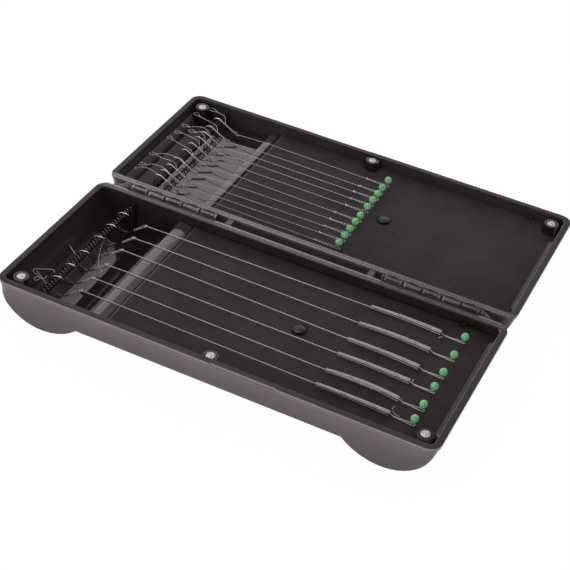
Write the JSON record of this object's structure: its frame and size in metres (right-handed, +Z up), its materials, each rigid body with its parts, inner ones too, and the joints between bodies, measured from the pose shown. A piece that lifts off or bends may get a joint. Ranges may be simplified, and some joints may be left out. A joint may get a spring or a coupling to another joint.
{
  "type": "fishing rig box",
  "caption": "Long hard rig box lying open: two shells with bulged ends on a knuckle hinge, foam sheets, stretched springs, ball-headed pins and hook links laid out.",
  "frame": {"origin": "under the hinge line, midway along it, on the surface the open box stands on", "axes": "+X along the hinge towards the end with the pins of the base half, +Y towards the lid half, +Z up"},
  "size_m": [0.34, 0.2992, 0.0347],
  "materials": {
    "shell_plastic": "satin moulded dark grey",
    "liner_plastic": "satin dark grey sheet",
    "foam": "matte closed-cell foam, near black",
    "stud_plastic": "smooth black",
    "magnet_nickel": "nickel plated",
    "rod_steel": "plain drawn steel",
    "spring_wire": "blackened wire",
    "hook_and_link": "dark wire hook, pale braided link",
    "sleeve_rubber": "matte olive grey",
    "pin_green": "glossy green ball on a steel shaft"
  },
  "bodies": {
    "base": {"base_tray": "shell_plastic", "base_liner": "liner_plastic", "base_foam": "foam", "base_foam_stud": "stud_plastic", "base_spring": "spring_wire", "base_magnet_1": "magnet_nickel", "base_magnet_2": "magnet_nickel", "base_magnet_3": "magnet_nickel", "hinge_rod_1": "rod_steel", "hinge_rod_2": "rod_steel", "base_rig_1": "hook_and_link", "base_sleeve_1": "sleeve_rubber", "base_rig_2": "hook_and_link", "base_sleeve_2": "sleeve_rubber", "base_rig_3": "hook_and_link", "base_sleeve_3": "sleeve_rubber", "base_rig_4": "hook_and_link", "base_sleeve_4": "sleeve_rubber", "base_rig_5": "hook_and_link", "base_sleeve_5": "sleeve_rubber", "base_rig_6": "hook_and_link", "base_sleeve_6": "sleeve_rubber"},
    "lid": {"lid_tray": "shell_plastic", "lid_liner": "liner_plastic", "lid_foam": "foam", "lid_foam_stud": "stud_plastic", "lid_spring": "spring_wire", "lid_magnet_1": "magnet_nickel", "lid_magnet_2": "magnet_nickel", "lid_magnet_3": "magnet_nickel", "lid_rig_1": "hook_and_link", "lid_rig_2": "hook_and_link", "lid_rig_3": "hook_and_link", "lid_rig_4": "hook_and_link", "lid_rig_5": "hook_and_link", "lid_rig_6": "hook_and_link", "lid_rig_7": "hook_and_link", "lid_rig_8": "hook_and_link", "lid_rig_9": "hook_and_link", "lid_rig_10": "hook_and_link"},
    "base_pin_1": {"base_pin_1": "pin_green"},
    "base_pin_2": {"base_pin_2": "pin_green"},
    "base_pin_3": {"base_pin_3": "pin_green"},
    "base_pin_4": {"base_pin_4": "pin_green"},
    "base_pin_5": {"base_pin_5": "pin_green"},
    "base_pin_6": {"base_pin_6": "pin_green"},
    "lid_pin_1": {"lid_pin_1": "pin_green"},
    "lid_pin_2": {"lid_pin_2": "pin_green"},
    "lid_pin_3": {"lid_pin_3": "pin_green"},
    "lid_pin_4": {"lid_pin_4": "pin_green"},
    "lid_pin_5": {"lid_pin_5": "pin_green"},
    "lid_pin_6": {"lid_pin_6": "pin_green"},
    "lid_pin_7": {"lid_pin_7": "pin_green"},
    "lid_pin_8": {"lid_pin_8": "pin_green"},
    "lid_pin_9": {"lid_pin_9": "pin_green"},
    "lid_pin_10": {"lid_pin_10": "pin_green"}
  },
  "joints": [
    {"name": "lid_hinge", "type": "hinge", "parent": "base", "child": "lid", "pos_m": [0, 0, 0.03275], "axis": [1, 0, 0], "range_deg": [0, 180]},
    {"name": "base_pin_1_slide", "type": "slide", "parent": "base", "child": "base_pin_1", "axis": [0, 0, 1], "range_m": [0, 0.006]},
    {"name": "base_pin_2_slide", "type": "slide", "parent": "base", "child": "base_pin_2", "axis": [0, 0, 1], "range_m": [0, 0.006]},
    {"name": "base_pin_3_slide", "type": "slide", "parent": "base", "child": "base_pin_3", "axis": [0, 0, 1], "range_m": [0, 0.006]},
    {"name": "base_pin_4_slide", "type": "slide", "parent": "base", "child": "base_pin_4", "axis": [0, 0, 1], "range_m": [0, 0.006]},
    {"name": "base_pin_5_slide", "type": "slide", "parent": "base", "child": "base_pin_5", "axis": [0, 0, 1], "range_m": [0, 0.006]},
    {"name": "base_pin_6_slide", "type": "slide", "parent": "base", "child": "base_pin_6", "axis": [0, 0, 1], "range_m": [0, 0.006]},
    {"name": "lid_pin_1_slide", "type": "slide", "parent": "lid", "child": "lid_pin_1", "axis": [0, 0, 1], "range_m": [0, 0.006]},
    {"name": "lid_pin_2_slide", "type": "slide", "parent": "lid", "child": "lid_pin_2", "axis": [0, 0, 1], "range_m": [0, 0.006]},
    {"name": "lid_pin_3_slide", "type": "slide", "parent": "lid", "child": "lid_pin_3", "axis": [0, 0, 1], "range_m": [0, 0.006]},
    {"name": "lid_pin_4_slide", "type": "slide", "parent": "lid", "child": "lid_pin_4", "axis": [0, 0, 1], "range_m": [0, 0.006]},
    {"name": "lid_pin_5_slide", "type": "slide", "parent": "lid", "child": "lid_pin_5", "axis": [0, 0, 1], "range_m": [0, 0.006]},
    {"name": "lid_pin_6_slide", "type": "slide", "parent": "lid", "child": "lid_pin_6", "axis": [0, 0, 1], "range_m": [0, 0.006]},
    {"name": "lid_pin_7_slide", "type": "slide", "parent": "lid", "child": "lid_pin_7", "axis": [0, 0, 1], "range_m": [0, 0.006]},
    {"name": "lid_pin_8_slide", "type": "slide", "parent": "lid", "child": "lid_pin_8", "axis": [0, 0, 1], "range_m": [0, 0.006]},
    {"name": "lid_pin_9_slide", "type": "slide", "parent": "lid", "child": "lid_pin_9", "axis": [0, 0, 1], "range_m": [0, 0.006]},
    {"name": "lid_pin_10_slide", "type": "slide", "parent": "lid", "child": "lid_pin_10", "axis": [0, 0, 1], "range_m": [0, 0.006]}
  ]
}
